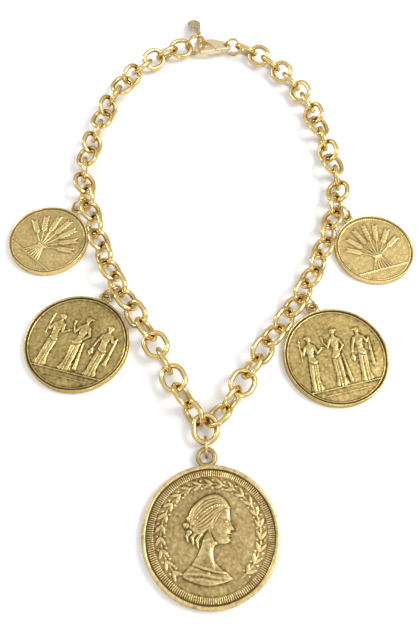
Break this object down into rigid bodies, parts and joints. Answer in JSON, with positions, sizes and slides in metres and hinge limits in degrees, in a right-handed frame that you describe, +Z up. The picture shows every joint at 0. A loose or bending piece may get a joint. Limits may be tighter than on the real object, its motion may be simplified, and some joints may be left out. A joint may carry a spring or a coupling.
{
  "type": "coin necklace",
  "caption": "Heavy gold-coloured cable chain necklace lying flat, with cast antique-style coin charms on jump rings and a lobster clasp.",
  "frame": {"origin": "middle of the whole necklace's box in plan, on the table it lies on", "axes": "+Y from the centre coin towards the clasp, +X to the right as seen from above, +Z up from the table"},
  "size_m": [0.1596, 0.2622, 0.0107],
  "materials": {
    "chain_gold": "polished yellow gold plate",
    "satin_gold": "satin pale gold plate",
    "tag_bronze": "textured antiqued bronze",
    "coin_brass": "cast, antiqued gold with dark recesses",
    "upper_coin_brass": "cast, worn pale gold"
  },
  "bodies": {
    "necklace": {"chain_left": "chain_gold", "chain_right": "chain_gold", "centre_link": "chain_gold", "end_ring": "chain_gold", "clasp_ring": "chain_gold", "clasp_body": "satin_gold", "tag": "tag_bronze", "coin_centre": "coin_brass", "coin_lower_left": "coin_brass", "coin_lower_right": "coin_brass", "coin_upper_left": "upper_coin_brass", "coin_upper_right": "upper_coin_brass", "ring_centre": "chain_gold", "ring_lower_left": "chain_gold", "ring_lower_right": "chain_gold", "ring_upper_left": "chain_gold", "ring_upper_right": "chain_gold"},
    "clasp_lever": {"clasp_lever": "satin_gold"}
  },
  "joints": [
    {"name": "clasp_lever_hinge", "type": "hinge", "parent": "necklace", "child": "clasp_lever", "pos_m": [0.00084, 0.10744, 0.0036], "axis": [0, 0, -1], "range_deg": [0, 15], "stiffness_Nm_per_rad": 0.01}
  ]
}
